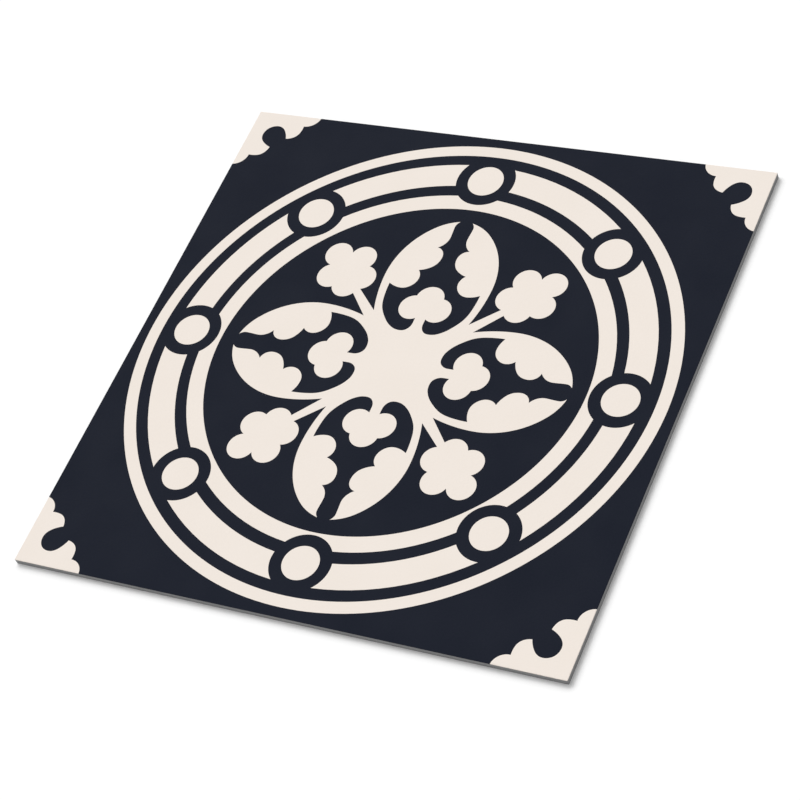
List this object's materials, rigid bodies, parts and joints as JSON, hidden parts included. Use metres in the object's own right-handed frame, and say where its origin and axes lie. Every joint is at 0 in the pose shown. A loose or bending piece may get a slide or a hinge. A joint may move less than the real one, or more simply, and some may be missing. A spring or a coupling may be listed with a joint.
{
  "type": "vinyl floor tile",
  "caption": "Square sheet of filled vinyl with a flat face printed with a ringed foliate ornament, laid edge to edge with its like as a floor covering.",
  "frame": {"origin": "middle of the back, on the plane that beds on the floor", "axes": "+Z out of the printed face, +X and +Y along two cut edges"},
  "size_m": [0.305, 0.305, 0.0032],
  "materials": {
    "filled_vinyl": "dull cut edge and back, with a matt wear layer over a flat navy and cream print on the face"
  },
  "bodies": {
    "root": {"vinyl_tile": "filled_vinyl"}
  },
  "joints": []
}
